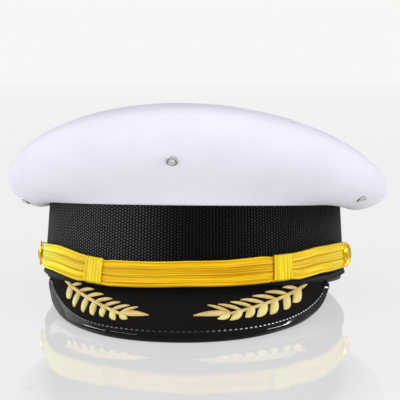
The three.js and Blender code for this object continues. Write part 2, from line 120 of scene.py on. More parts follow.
WELT = {
    "height": 4.6, "foot": 0.6, "out": 3.6, "end": rad(79), "taper": rad(23), "end_size": 0.12,
    "thins": (rad(38), rad(64)), "thin_share": 0.2, "rises": (rad(58), rad(76)), "end_rise": 2.8,
}

STRAP_WIDTH = 14.0
STRAP_THICK = 1.9
STRAP_FRONT_TOP = 14.4
STRAP_SIDE_TOP = 21.6
STRAP_FRONT_LEAN = rad(32)
STRAP_STAND_OFF = 1.6
STRAP_LEFT_STAND_OFF = 0.6
STRAP_RIGHT_STAND_OFF = 1.2
STRAP_SETTLES = (rad(50), rad(74))  # where it goes over to the stand-off of its ends
STRAP_END_THINNED = 0.7  # width lost on each side towards its left end
STRAP_THINS = (rad(45), rad(72))
SLIDE_PINCH = 0.8  # width lost on each side under a slide
SLIDE_PINCH_REACH = 0.085  # in radians round the band
# Lanes across the strap: the shares of its width where the grooves between them lie.
GROOVES = [0.10, 0.32, 0.63, 0.86]
GROOVE_DEPTHS = [0.35, 1.0, 1.0, 0.7]
GROOVE_WIDE = 0.022
LANE_RELIEF = 0.38
STRAP_CORDS = 19
CORD_RELIEF = 0.12
STRAP_EDGE = 0.03  # share of its width that is rounded off
STRAP_EDGE_FALL = 0.5
STRAP_EDGE_RISE = 0.3
STRAP_END_PAST = 7.0
# How far the soft strap stands above its even line, at angles round the band in degrees.
STRAP_RISE = [
    (-80, -1.5), (-70, -0.8), (-60, 0.1), (-51, 1.0), (-44, 0.5), (-37, -0.6), (-31, -1.1),
    (-24, -1.5), (-16, -1.1), (-7, -0.6), (3, 0.1), (16, 0.0), (27, 0.5), (42, 0.4), (52, 1.3),
    (66, 0.6), (80, -0.2),
]
SLIDE_LONG = 10.5
SLIDE_PROUD = 1.05
SLIDE_ROOM = 0.3
SLIDE_INNER_ROOM = 0.05
SLIDE_INNER_PROUD = 0.1
SLIDE_CORNER = 0.8
SLIDE_CORDS = 5
SLIDE_CORD_RELIEF = 0.28
SLIDES = [
    {"name": "slide_left", "node": "strap_slide_left", "angle": rad(-28.7), "skew": rad(2)},
    {"name": "slide_right", "node": "strap_slide_right", "angle": rad(34.6), "skew": rad(-2)},
]
BUTTON_ANGLE = rad(75.5)
BUTTON_RADIUS = 6.9
BUTTON_BOSS = 4.2
BUTTON_DOME = 1.8
BUTTON_RIM = 0.9
BUTTON_RIM_WIDE = 1.3
BUTTON_ROLL = 0.5
BUTTON_SUNK = 0.55
BUTTON_SHANK = 1.8
BUTTON_TURN = rad(14)  # the right button hangs turned a little forwards

EYELET_FLANGE = 3.2
EYELET_LIP = 0.8
EYELET_ROLL = 0.9
EYELET_BEHIND = 0.8  # how far its barrel goes on behind the cloth
EYELET_SEAT = 0.05
EYELET_BARREL = 2.1
EYELET_BORE = 1.4
EYELETS = [
    {"name": "grommet_front", "node": "eyelet_front", "angle": rad(-2.1), "share": 0.53},
    {"name": "grommet_left", "node": "eyelet_left", "angle": rad(-77), "share": 0.49},
    {"name": "grommet_right", "node": "eyelet_right", "angle": rad(68), "share": 0.51},
]

# The stems in plan, across and in front of the cap's centre. The left one was sewn a little shorter.
BRANCHES = [
    {"side": -1, "node": "branch_left", "root": (62.2, 66.5), "bend": (46.9, 96.5), "tip": (26.8, 112.6),
     "outer_grow": 0.78, "outer_turn": 1.1, "inner_grow": 0.95, "inner_turn": 1.0,
     "end_long": 16.4, "end_turn": rad(21)},
    {"side": 1, "node": "branch_right", "root": (63.6, 64.8), "bend": (50.0, 95.3), "tip": (27.0, 111.9),
     "outer_grow": 1.0, "outer_turn": 0.68, "inner_grow": 1.25, "inner_turn": 0.95,
     "end_long": 19.4, "end_turn": rad(18)},
]
STEM_WIDTH = 1.3
BRANCH_RAISED = 1.1
END_LEAF_WIDE = 2.9
# Leaves towards the visor's edge, and then towards the band: their places along the stem, plan
# lengths, turns from the stem in degrees, and widths.
OUTER_LEAVES = [
    (0.12, 13.0, 15, 3.3), (0.31, 10.6, 31, 3.6), (0.47, 11.4, 31, 3.6), (0.60, 11.8, 27, 3.6),
    (0.75, 9.0, 29, 3.4), (0.88, 9.5, 21, 3.1), (1.0, 7.8, 5, 2.7),
]
INNER_LEAVES = [
    (0.15, 8.0, 24, 1.6), (0.31, 10.7, 26, 1.8), (0.47, 10.5, 29, 1.8), (0.62, 10.1, 31, 1.8),
    (0.76, 9.0, 37, 1.6), (0.88, 9.5, 39, 1.5), (0.99, 9.6, 46, 1.4),
]

MM = 0.001
WARM_THREAD = 2.0  # added to the U of the leaves sewn in the warmer gold thread
# Pitches of woven and sewn threads, in metres.
CLOTH_WEAVE = 0.0011
LACE_THREAD = 0.0006
LACE_KNOTS = (0.0013, 0.0011)
LACE_KNOT_SLANT = 0.0016
SATIN_THREAD = 0.00055


# Helpers for points and grids

def mix(a, b, share):
    return a + (b - a) * share


def smooth(value, low, high):
    share = np.clip((value - low) / (high - low), 0, 1)
    return share * share * (3 - 2 * share)


def unit(vectors):
    return vectors / np.maximum(np.linalg.norm(vectors, axis=-1, keepdims=True), 1e-9)


def stack(x, y, z):
    return np.stack(np.broadcast_arrays(x, y, z), axis=-1).astype(float)


FRAME_BACK = BAND_HALF_LENGTH - BRAID_WALL - CLEARANCE
frame_low, frame_high = (np.array(corner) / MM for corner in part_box("band_frame"))
CAP_ORIGIN = np.array([
    (frame_low[0] + frame_high[0]) / 2,
    frame_low[1] + FRAME_BACK * math.cos(TILT),
    frame_low[2] + FRAME_BACK * math.sin(TILT),
])


def to_world(points):
    """From the cap's own frame, in millimetres, to the scene, in metres."""
    x, y, z = points[..., 0], points[..., 1], points[..., 2]
    leaned_y = y * math.cos(TILT) + z * math.sin(TILT)
    leaned_z = -y * math.sin(TILT) + z * math.cos(TILT)
    return (stack(x, leaned_y, leaned_z) + CAP_ORIGIN) * MM


def grid_normals(grid):
    """The normals of a grid that closes on itself along its rows."""
    along_rows = np.roll(grid, -1, 0) - np.roll(grid, 1, 0)
    return unit(np.cross(along_rows, np.gradient(grid, axis=1)))


def lengths_along(grid, axis):
    """Distance run along an axis of a grid, averaged over the other axis."""
    step = np.linalg.norm(np.diff(grid, axis=axis), axis=-1).mean(axis=1 - axis)
    return np.concatenate([[0.0], np.cumsum(step)])


def add_object(name, data):
    item = bpy.data.objects.new(name, data)
    bpy.context.scene.collection.objects.link(item)
    return item


def make_object(name, points, faces, corner_uv, material):
    """A smooth-shaded closed mesh object from world points, quads and their UV corners."""
    mesh = bpy.data.meshes.new(name)
    mesh.from_pydata([tuple(p) for p in points], [], [tuple(f) for f in faces])
    layer = mesh.uv_layers.new(name="cloth")
    layer.data.foreach_set("uv", np.asarray(corner_uv, dtype=np.float32).ravel())
    work = bmesh.new()
    work.from_mesh(mesh)
    bmesh.ops.remove_doubles(work, verts=work.verts, dist=2e-6)
    bmesh.ops.recalc_face_normals(work, faces=work.faces)
    work.to_mesh(mesh)
    work.free()
    mesh.materials.append(material)
    mesh.polygons.foreach_set("use_smooth", [True] * len(mesh.polygons))
    mesh.update()
    return add_object(name, mesh)


def shell_parts(outer, inner, wrap_rows=False, wrap_columns=False):
    """World points, quads and UV corners of the closed solid between two grids."""
    rows, columns = outer.shape[:2]
    points = to_world(np.concatenate([outer.reshape(-1, 3), inner.reshape(-1, 3)]))
    row_run = lengths_along(outer, 0)
    column_run = lengths_along(outer, 1)
    if wrap_rows:
        closing = np.linalg.norm(outer[0] - outer[-1], axis=-1).mean()
        row_run = np.append(row_run, row_run[-1] + closing)
    if wrap_columns:
        closing = np.linalg.norm(outer[:, 0] - outer[:, -1], axis=-1).mean()
        column_run = np.append(column_run, column_run[-1] + closing)
    layer = rows * columns
    faces, corners = [], []

    def quad(*spots):
        faces.append([side * layer + (i % rows) * columns + j % columns for side, i, j in spots])
        corners.extend((row_run[i] * MM, column_run[j] * MM) for _, i, j in spots)

    row_end = rows if wrap_rows else rows - 1
    column_end = columns if wrap_columns else columns - 1
    for i in range(row_end):
        for j in range(column_end):
            quad((0, i, j), (0, i + 1, j), (0, i + 1, j + 1), (0, i, j + 1))
            quad((1, i, j), (1, i, j + 1), (1, i + 1, j + 1), (1, i + 1, j))
        if not wrap_columns:
            last = columns - 1
            quad((0, i, 0), (1, i, 0), (1, i + 1, 0), (0, i + 1, 0))
            quad((0, i, last), (0, i + 1, last), (1, i + 1, last), (1, i, last))
    if not wrap_rows:
        last = rows - 1
        for j in range(column_end):
            quad((0, 0, j), (0, 0, j + 1), (1, 0, j + 1), (1, 0, j))
            quad((0, last, j), (1, last, j), (1, last, j + 1), (0, last, j + 1))
    return points, faces, corners


def shell(name, outer, inner, material, wrap_rows=False, wrap_columns=False):
    points, faces, corners = shell_parts(outer, inner, wrap_rows, wrap_columns)
    return make_object(name, points, faces, corners, material)


def joined_shells(name, parts, material):
    """One object of several closed shells."""
    points, faces, corners = [], [], []
    start = 0
    for part_points, part_faces, part_corners in parts:
        points.append(part_points)
        faces.extend([[index + start for index in face] for face in part_faces])
        corners.extend(part_corners)
        start += len(part_points)
    return make_object(name, np.concatenate(points), faces, corners, material)


def lathe(name, profile, place, direction, material, segments):
    """A solid turned from (radius, height) points, its axis along a direction."""
    across = unit(np.cross(direction, [0.0, 0.0, 1.0]))
    other = np.cross(direction, across)
    turns = np.linspace(0, 2 * math.pi, segments, endpoint=False)
    ring = np.cos(turns)[:, None] * across + np.sin(turns)[:, None] * other
    profile = np.array(profile, float)
    grid = place + ring[:, None, :] * profile[None, :, :1] + direction * profile[None, :, 1:]
    rows, columns = grid.shape[:2]
    faces, corners = [], []
    for i in range(rows):
        for j in range(columns - 1):
            spots = [(i, j), (i + 1, j), (i + 1, j + 1), (i, j + 1)]
            faces.append([(a % rows) * columns + b for a, b in spots])
            corners.extend((a / rows, b / columns) for a, b in spots)
    return make_object(name, to_world(grid.reshape(-1, 3)), faces, corners, material)


def dress(piece, node):
    """The piece rides on the cap in place of a node."""
    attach(piece, "root")
    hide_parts(node)
    return piece


# Materials

def new_material(name):
    material = bpy.data.materials.new(name)
    material.use_nodes = True
    tree = material.node_tree
    shader = tree.nodes["Principled BSDF"]
    return material, tree, shader


def set_inputs(shader, values):
    for name, value in values.items():
        shader.inputs[name].default_value = value


def paint(tree, shader, colour):
    tree.links.new(colour, shader.inputs["Base Color"])


def math_node(tree, operation, *values):
    node = tree.nodes.new("ShaderNodeMath")
    node.operation = operation
    for socket, value in zip(node.inputs, values):
        if isinstance(value, (int, float)):
            socket.default_value = value
        else:
            tree.links.new(value, socket)
    return node.outputs[0]


def times(tree, first, second):
    return math_node(tree, "MULTIPLY", first, second)


def uv_axes(tree):
    """The cloth's two directions, in metres."""
    uv = tree.nodes.new("ShaderNodeUVMap")
    uv.uv_map = "cloth"
    split = tree.nodes.new("ShaderNodeSeparateXYZ")
    tree.links.new(uv.outputs[0], split.inputs[0])
    return split.outputs[0], split.outputs[1]


def across_cap(tree):
    """The place across the cap, from 0 at its left to 1 at its right."""
    coords = tree.nodes.new("ShaderNodeTexCoord")
    split = tree.nodes.new("ShaderNodeSeparateXYZ")
    tree.links.new(coords.outputs["Object"], split.inputs[0])
    return math_node(tree, "MULTIPLY_ADD", split.outputs[0], 6.0, 0.5)


def noise(tree, scale, detail, roughness=0.55):
    coords = tree.nodes.new("ShaderNodeTexCoord")
    node = tree.nodes.new("ShaderNodeTexNoise")
    set_inputs(node, {"Scale": scale, "Detail": detail, "Roughness": roughness})
    tree.links.new(coords.outputs["Object"], node.inputs["Vector"])
    return node.outputs["Fac"]


def ramp(tree, factor, stops):
    node = tree.nodes.new("ShaderNodeValToRGB")
    elements = node.color_ramp.elements
    while len(elements) < len(stops):
        elements.new(0.5)
    for element, (position, colour) in zip(elements, stops):
        element.position = position
        element.color = (*colour, 1)
    tree.links.new(factor, node.inputs[0])
    return node.outputs[0]


def grey_ramp(tree, factor, stops):
    return ramp(tree, factor, [(place, (value, value, value)) for place, value in stops])


def bump(tree, shader, height, strength, distance, after=None):
    node = tree.nodes.new("ShaderNodeBump")
    set_inputs(node, {"Strength": strength, "Distance": distance})
    tree.links.new(height, node.inputs["Height"])
    if after is not None:
        tree.links.new(after, node.inputs["Normal"])
    tree.links.new(node.outputs[0], shader.inputs["Normal"])
    return node.outputs[0]


def wave(tree, axis, pitch, phase=None):
    """A sine of one direction, from 0 to 1, with its pitch in metres."""
    turns = times(tree, axis, 2 * math.pi / pitch)
    if phase is not None:
        turns = math_node(tree, "ADD", turns, phase)
    sine = math_node(tree, "SINE", turns)
    return math_node(tree, "MULTIPLY_ADD", sine, 0.5, 0.5)


def grained(name, grain, tones, values, strength, distance):
    """A material whose colour and surface follow one fine grain."""
    material, tree, shader = new_material(name)
    pattern = noise(tree, *grain)
    paint(tree, shader, ramp(tree, pattern, tones))
    set_inputs(shader, values)
    bump(tree, shader, pattern, strength, distance)
    return material


def white_cloth():
    material, tree, shader = new_material("white_cloth")
    u, v = uv_axes(tree)
    weave = times(tree, wave(tree, u, CLOTH_WEAVE), wave(tree, v, CLOTH_WEAVE))
    patches = noise(tree, 40, 3)
    colour = ramp(tree, patches, [(0.3, (0.71, 0.695, 0.80)), (0.7, (0.75, 0.735, 0.835))])
    paint(tree, shader, colour)
    set_inputs(shader, {
        "Roughness": 0.7, "Specular IOR Level": 0.05, "Sheen Weight": 0.08, "Sheen Roughness": 0.5,
    })
    soft = bump(tree, shader, noise(tree, 26, 2), 0.25, 0.0012)
    bump(tree, shader, weave, 0.35, 0.00012, after=soft)
    return material


def black_braid():
    material, tree, shader = new_material("black_braid")
    u, v = uv_axes(tree)
    across = math_node(tree, "DIVIDE", u, RIB_PITCH * MM)
    rib_number = math_node(tree, "FLOOR", across)
    within = math_node(tree, "FRACT", across)
    arch = math_node(tree, "SINE", times(tree, within, math.pi))
    rib = math_node(tree, "POWER", arch, 0.6)
    # The threads slant one way on a rib and the other way on the next.
    odd = math_node(tree, "MODULO", rib_number, 2.0)
    way = math_node(tree, "MULTIPLY_ADD", odd, 2.0, -1.0)
    slant = times(tree, times(tree, within, 3.6), way)
    uneven = times(tree, noise(tree, 420, 2), 2.4)
    thread = wave(tree, v, ROW_PITCH * MM, math_node(tree, "ADD", slant, uneven))
    step = math_node(tree, "MULTIPLY_ADD", thread, 0.6, 0.4)
    height = times(tree, rib, step)
    # Painted light and shade: the raised threads are painted lighter and the hollows between them near
    # black.
    colour = ramp(tree, height, [
        (0.30, (0.0015, 0.0015, 0.0017)), (0.55, (0.008, 0.008, 0.009)), (0.92, (0.10, 0.10, 0.106)),
    ])
    # Painted sheen of the side lights: it is palest towards the left, and darkest in the middle and at the
    # right end.
    painted_sheen = grey_ramp(tree, across_cap(tree), [
        (0.05, 0.7), (0.2, 1), (0.36, 0.7), (0.48, 0.12), (0.62, 0.12), (0.74, 0.25), (0.86, 0.2),
        (0.97, 0.06),
    ])
    colour = tinted(tree, colour, painted_sheen, 1.0)
    paint(tree, shader, colour)
    gloss = grey_ramp(tree, height, [(0.4, 0.95), (0.75, 0.38)])
    tree.links.new(gloss, shader.inputs["Roughness"])
    shader.inputs["Specular IOR Level"].default_value = 0.07
    bump(tree, shader, height, 0.9, 0.0005)
    return material


def black_cloth():
    tones = [(0.3, (0.004, 0.0033, 0.0028)), (0.75, (0.011, 0.0095, 0.0082))]
    values = {"Roughness": 0.9, "Specular IOR Level": 0.04, "Sheen Weight": 0.01}
    return grained("black_cloth", (900, 5, 0.7), tones, values, 0.35, 0.0002)


def patent_leather():
    tones = [(0.3, (0.002, 0.002, 0.002)), (0.7, (0.004, 0.004, 0.0045))]
    values = {"Roughness": 0.06, "Specular IOR Level": 0.12}
    return grained("patent_leather", (260, 3), tones, values, 0.12, 0.0002)


def welt_leather():
    tones = [(0.3, (0.005, 0.005, 0.0055)), (0.7, (0.010, 0.010, 0.011))]
    values = {"Roughness": 0.6, "Specular IOR Level": 0.1}
    return grained("welt_leather", (420, 4, 0.6), tones, values, 0.3, 0.0002)


def frame_board():
    tones = [(0.3, (0.012, 0.011, 0.010)), (0.7, (0.03, 0.028, 0.026))]
    return grained("frame_board", (180, 5, 0.65), tones, {"Roughness": 0.7}, 0.3, 0.0003)


def streaks(tree, along, across, long_scale, cross_scale):
    node = tree.nodes.new("ShaderNodeTexNoise")
    node.noise_dimensions = "2D"
    set_inputs(node, {"Scale": 1.0, "Detail": 3.0})
    place = tree.nodes.new("ShaderNodeCombineXYZ")
    tree.links.new(times(tree, along, long_scale), place.inputs[0])
    tree.links.new(times(tree, across, cross_scale), place.inputs[1])
    tree.links.new(place.outputs[0], node.inputs["Vector"])
    return node.outputs["Fac"]


def tinted(tree, colour, tint, factor, blend="MULTIPLY"):
    node = tree.nodes.new("ShaderNodeMix")
    node.data_type = "RGBA"
    node.blend_type = blend
    if isinstance(factor, float):
        node.inputs["Factor"].default_value = factor
    else:
        tree.links.new(factor, node.inputs["Factor"])
    tree.links.new(colour, node.inputs["A"])
    if isinstance(tint, tuple):
        node.inputs["B"].default_value = (*tint, 1)
    else:
        tree.links.new(tint, node.inputs["B"])
    return node.outputs["Result"]


def gold_lace(width):
    """Woven gilt lace for the strap, of a width in metres, with painted light that makes it paler and more
    lemon at its ends, the left one most.
    """
    material, tree, shader = new_material("gold_lace")
    u, v = uv_axes(tree)
    share = math_node(tree, "DIVIDE", v, width)
    fine = streaks(tree, u, v, 22.0, 1500.0)
    threads = wave(tree, v, LACE_THREAD)
    gold = ramp(tree, fine, [
        (0.32, (0.62, 0.31, 0.003)), (0.5, (0.78, 0.45, 0.005)), (0.7, (0.93, 0.64, 0.02)),
    ])
    lemon = ramp(tree, fine, [
        (0.32, (0.80, 0.66, 0.005)), (0.5, (0.93, 0.88, 0.010)), (0.7, (0.99, 0.97, 0.04)),
    ])
    # Painted light: the lace is paler and more lemon towards the strap's ends.
    along = times(tree, u, 3.4)
    painted_light_at_ends = grey_ramp(tree, along, [(0.10, 1), (0.32, 0), (0.60, 0), (0.85, 0.4)])
    colour = tinted(tree, gold, lemon, painted_light_at_ends, "MIX")
    # Painted shade in the grooves between the lanes and along the strap's rounded edges.
    stops = [(0.0, 0.75), (0.03, 0.0)]
    for groove, depth in zip(GROOVES, GROOVE_DEPTHS):
        stops += [(groove - 0.024, 0.0), (groove, depth), (groove + 0.024, 0.0)]
    stops += [(0.97, 0.0), (1.0, 0.75)]
    shade = grey_ramp(tree, share, stops)
    colour = tinted(tree, colour, (0.42, 0.20, 0.04), shade)
    # The knurled cord in the middle lane.
    lane = grey_ramp(tree, share, [(0.34, 0), (0.37, 1), (0.58, 1), (0.61, 0)])
    slant = times(tree, v, 2 * math.pi / LACE_KNOT_SLANT)
    along_knots, across_knots = wave(tree, u, LACE_KNOTS[0], slant), wave(tree, v, LACE_KNOTS[1])
    knots = times(tree, along_knots, across_knots)
    dots = times(tree, lane, knots)
    colour = tinted(tree, colour, (0.45, 0.38, 0.12), dots)
    paint(tree, shader, colour)
    set_inputs(shader, {"Roughness": 0.42, "Specular IOR Level": 0.08})
    height = math_node(tree, "ADD", threads, times(tree, fine, 2.0))
    height = math_node(tree, "ADD", height, times(tree, dots, 1.5))
    bump(tree, shader, height, 0.5, 0.00015)
    return material


def slide_lace():
    """The same lace folded round the strap, its threads running across it."""
    material, tree, shader = new_material("gold_lace_slide")
    u, v = uv_axes(tree)
    fine = streaks(tree, v, u, 40.0, 1500.0)
    colour = ramp(tree, fine, [
        (0.3, (0.70, 0.46, 0.004)), (0.5, (0.85, 0.65, 0.010)), (0.7, (0.97, 0.82, 0.03)),
    ])
    # Painted shade in the grooves between the cords.
    ribs = math_node(tree, "FRACT", math_node(tree, "DIVIDE", u, SLIDE_LONG / SLIDE_CORDS * MM))
    grooves = grey_ramp(tree, ribs, [(0.0, 1), (0.12, 0), (0.88, 0), (1.0, 1)])
    colour = tinted(tree, colour, (0.55, 0.28, 0.06), grooves)
    paint(tree, shader, colour)
    set_inputs(shader, {"Roughness": 0.42, "Specular IOR Level": 0.08})
    height = math_node(tree, "ADD", wave(tree, u, LACE_THREAD), times(tree, fine, 2.0))
    bump(tree, shader, height, 0.5, 0.00015)
    return material


def gold_thread():
    material, tree, shader = new_material("gold_thread")
    u, v = uv_axes(tree)
    slant = math_node(tree, "ADD", u, times(tree, v, 0.8))
    threads = wave(tree, slant, SATIN_THREAD)
    tone = noise(tree, 160, 3)
    sheen = times(tree, math_node(tree, "ADD", threads, tone), 0.5)
    pale = ramp(tree, sheen, [
        (0.2, (0.50, 0.34, 0.07)), (0.45, (0.90, 0.78, 0.26)), (0.75, (1.0, 0.93, 0.42)),
    ])
    warm = ramp(tree, sheen, [
        (0.2, (0.34, 0.17, 0.03)), (0.45, (0.80, 0.55, 0.16)), (0.7, (1.0, 0.84, 0.38)),
    ])
    colour = tinted(tree, pale, warm, math_node(tree, "GREATER_THAN", u, WARM_THREAD / 2), "MIX")
    paint(tree, shader, colour)
    set_inputs(shader, {"Roughness": 0.4, "Specular IOR Level": 0.25})
    bump(tree, shader, threads, 0.6, 0.0002)
    return material


def metal(name, low, high, roughness):
    tones = [(0.3, low), (0.7, high)]
    return grained(name, (300, 4), tones, {"Metallic": 1.0, "Roughness": roughness}, 0.1, 0.0001)


def stitch_thread():
    material, tree, shader = new_material("stitch_thread")
    twist = noise(tree, 2500, 2)
    clean = ramp(tree, twist, [(0.3, (0.45, 0.45, 0.46)), (0.7, (0.9, 0.9, 0.92))])
    # The row's colour is darkened in the visor's middle and whitest towards its right.
    row_tone = grey_ramp(tree, across_cap(tree), [
        (0.0, 0.35), (0.16, 0.30), (0.34, 0.22), (0.44, 0.03), (0.58, 0.04), (0.66, 0.45), (0.76, 1),
        (0.88, 0.8), (0.95, 0.3),
    ])
    colour = tinted(tree, clean, row_tone, 1.0)
    paint(tree, shader, colour)
    shader.inputs["Roughness"].default_value = 0.45
    bump(tree, shader, twist, 0.3, 0.0001)
    return material


# The band

def band_outward(angle):
    return unit(stack(np.sin(angle) / BAND_HALF_WIDTH, -np.cos(angle) / BAND_HALF_LENGTH, 0))


def band_point(angle, z, out=0.0):
    share = 1 - BAND_TAPER * np.asarray(z, float)
    foot = stack(
        BAND_HALF_WIDTH * share * np.sin(angle), -BAND_HALF_LENGTH * share * np.cos(angle), z
    )
    return foot + band_outward(angle) * np.asarray(out, float)[..., None]


def around(count):
    return np.linspace(0, 2 * math.pi, count, endpoint=False)


def build_braid(material):
    turns = around(360)[:, None]
    long = BAND_HEIGHT - BRAID_HEM
    above_hem = np.array([
        0, BRAID_ROUNDING, 1.2, 2.4, 3.7, BRAID_LIP_HEIGHT, 0.35 * BAND_HEIGHT, 0.65 * BAND_HEIGHT,
        long - BRAID_ROUNDING, long,
    ])[None, :]
    rounded = np.zeros_like(above_hem)
    rounded[0, [0, -1]] = BRAID_ROUNDING
    across = np.abs((turns + math.pi) % (2 * math.pi) - math.pi)
    hem = mix(BRAID_HEM, BRAID_SIDE_HEM, smooth(across, *BRAID_HEM_RISES))
    heights = hem + above_hem * (BAND_HEIGHT - hem) / long
    sides = smooth(across, *BRAID_LIP_GROWS) * (1 - smooth(across, *BRAID_LIP_FADES))
    lip = BRAID_LIP * sides * np.maximum(0, 1 - above_hem / BRAID_LIP_HEIGHT) ** 2
    outer = band_point(turns, heights, lip - rounded)
    inner = band_point(turns, heights, np.full_like(heights, -BRAID_WALL))
    braid = dress(shell("braid", outer, inner, material, wrap_rows=True), "band_braid")


# The crown

def crown_section(angle):
    cosine = np.cos(angle)
    towards = np.abs(cosine) ** SECTION_BLEND
    section = {}
    for key, side in CROWN_SIDE.items():
        end = np.where(cosine > 0, CROWN_FRONT[key], CROWN_BACK[key])
        section[key] = mix(side, end, towards)
    return section


def side_place(section, share):
    """Outwards and up from the band's top, from the hem (0) to the widest line (1)."""
    a, b, c, d = (1 - share) ** 3, 3 * share * (1 - share) ** 2, 3 * share**2 * (1 - share), share**3
    out = b * section["lean_out"] + (c + d) * section["out"]
    up = a * CLEARANCE + b * section["lean_up"] + c * (section["up"] - section["belly"]) + d * section["up"]
    return out, up


def crown_point(angle, out, up):
    foot = band_point(angle, BAND_HEIGHT)
    sway = CROWN_SWAY * smooth(out, 0, CROWN_SIDE["out"])
    return foot + band_outward(angle) * out[..., None] + stack(sway, 0 * out, up)


def side_grid(turns):
    angle = turns[:, None]
    section = crown_section(angle)
    ones = np.ones_like(angle)
    places = [(-CROWN_HEM * ones, CLEARANCE * ones), (-CROWN_HEM / 2 * ones, CLEARANCE * ones)]
    places += [side_place(section, share * ones) for share in np.linspace(0, 1, 40)]
    for share in np.linspace(0, 1, 15)[1:]:
        turn = share * math.pi / 2
        out = section["out"] - section["roll_in"] * (1 - math.cos(turn))
        places.append((out, section["up"] + section["roll_up"] * math.sin(turn)))
    out, up = (np.concatenate(values, axis=1) for values in zip(*places))
    return crown_point(np.broadcast_to(angle, out.shape), out, up)


def top_grid(seam):
    centre = np.array([CROWN_SWAY, 0.0, BAND_HEIGHT + TOP_CENTRE_UP])
    inwards = np.linspace(0, 1, 40)[None, :, None]
    rise = 1 - (1 - inwards) ** TOP_FULLNESS
    flat = mix(seam[:, None, :], centre, inwards)
    height = mix(seam[:, None, 2:], centre[2], rise)
    return np.concatenate([flat[..., :2], height], axis=-1)


def build_crown(material):
    turns = around(320)
    side = side_grid(turns)
    side_inner = side - grid_normals(side) * CROWN_WALL
    top = top_grid(side[:, -1])
    top_inner = top - np.array([0, 0, CROWN_WALL])
    pieces = [
        shell("crown_side_cloth", side, side_inner, material, wrap_rows=True),
        shell("crown_top_cloth", top, top_inner, material, wrap_rows=True),
    ]
    for piece, node in zip(pieces, ("crown_side", "crown_top")):
        dress(piece, node)


def eyelet_seat(angle, share):
    def at(turn, along):
        section = crown_section(np.array([turn]))
        out, up = side_place(section, np.array([along]))
        return crown_point(np.array([turn]), out, up)[0]

    along = at(angle, share + 0.02) - at(angle, share - 0.02)
    across = at(angle + 0.02, share) - at(angle - 0.02, share)
    return at(angle, share), unit(np.cross(across, along))


def build_eyelet(spot, material):
    place, direction = eyelet_seat(spot["angle"], spot["share"])
    low = -CROWN_WALL - EYELET_BEHIND
    rolled = [
        (EYELET_BORE + EYELET_ROLL * (1 - math.cos(turn)), CLEARANCE + EYELET_LIP * math.sin(turn))
        for turn in np.linspace(0.1, math.pi / 2, 7)
    ]
    falling = [
        (EYELET_FLANGE - EYELET_ROLL * (1 - math.sin(turn)), CLEARANCE + EYELET_LIP * math.cos(turn))
        for turn in np.linspace(0, math.pi / 2, 7)
    ]
    profile = [(EYELET_BARREL, low), (EYELET_BORE, low), *rolled, *falling]
    profile += [(EYELET_FLANGE, EYELET_SEAT), (EYELET_BARREL, EYELET_SEAT), (EYELET_BARREL, low)]
    dress(lathe(spot["name"], profile, place, direction, material, 48), spot["node"])


# The visor

EDGE_HALF = VISOR_BOARD / 2 + CLEARANCE + BINDING_LEATHER


def edge_lift(share):
    """Half the bound edge's thickness, which is less at the visor's sides."""
    return EDGE_HALF - BINDING_THINNED * smooth(np.abs(share), *BINDING_THINS)


def visor_edge(share):
    angle = share * VISOR_END_ANGLE
    sine = np.sign(angle) * np.abs(np.sin(angle)) ** VISOR_POWER
    cosine = np.cos(angle) ** VISOR_POWER
    y = -(VISOR_BACK_SET + (VISOR_REACH - VISOR_BACK_SET) * cosine)
    table = -(FRAME_BACK - y) * math.tan(TILT)
    lift = (VISOR_ROOT_UP - EDGE_HALF - table) * np.abs(share) ** VISOR_LIFT_POWER
    flare = np.where(share < 0, -VISOR_LEFT_FLARE, VISOR_RIGHT_FLARE)
    flare = flare * smooth(np.abs(share), *VISOR_FLARE_GROWS)
    return stack(VISOR_HALF_WIDTH * sine + flare + VISOR_SWAY, y, table + lift)


visor_end = visor_edge(np.array(1.0))
ROOT_END = math.atan2((visor_end[0] - VISOR_SWAY) / BAND_HALF_WIDTH, -visor_end[1] / BAND_HALF_LENGTH)


def visor_point(share, down):
    """The visor's middle surface between its root (0) and its board's edge (1)."""
    share, down = np.broadcast_arrays(np.asarray(share, float), np.asarray(down, float))
    root = band_point(share * ROOT_END, np.zeros_like(share))
    root[..., 2] += VISOR_ROOT_UP
    rim = visor_edge(share)
    inwards = root - rim
    inwards[..., 2] = 0
    span = np.linalg.norm(inwards, axis=-1)
    end = rim + unit(inwards) * np.minimum(EDGE_HALF, span * 0.45)[..., None]
    end[..., 2] += EDGE_HALF
    point = root + (end - root) * down[..., None]
    point[..., 2] += VISOR_BULGE * 4 * down * (1 - down) * np.minimum(1, span / 20)
    return point


def visor_axes(share, down):
    """Points of the visor's middle surface, with the normals and the slopes towards its edge there."""
    nudge = 1e-3
    along = visor_point(share + nudge, down) - visor_point(share - nudge, down)
    slope = visor_point(share, down + nudge) - visor_point(share, down - nudge)
    normal = unit(np.cross(slope, along))
    normal = np.where(normal[..., 2:] < 0, -normal, normal)
    return visor_point(share, down), normal, unit(slope)


def build_visor(material):
    share = np.clip(np.linspace(-1, 1, 161), -0.998, 0.998)[:, None]
    point, normal, _ = visor_axes(share, np.linspace(0, 1, 25)[None, :])
    half = VISOR_BOARD / 2
    board = shell("visor_cloth", point + normal * half, point - normal * half, material)
    dress(board, "visor")


def flap_share(share):
    span = np.linalg.norm(visor_point(share, 0.0) - visor_point(share, 1.0), axis=-1)
    added = np.where(share < 0, BINDING_LEFT_FLAP, BINDING_RIGHT_FLAP)
    wide = BINDING_FLAP + added * smooth(np.abs(share), *BINDING_WIDENS)
    return np.minimum(wide, span * 0.8) / span


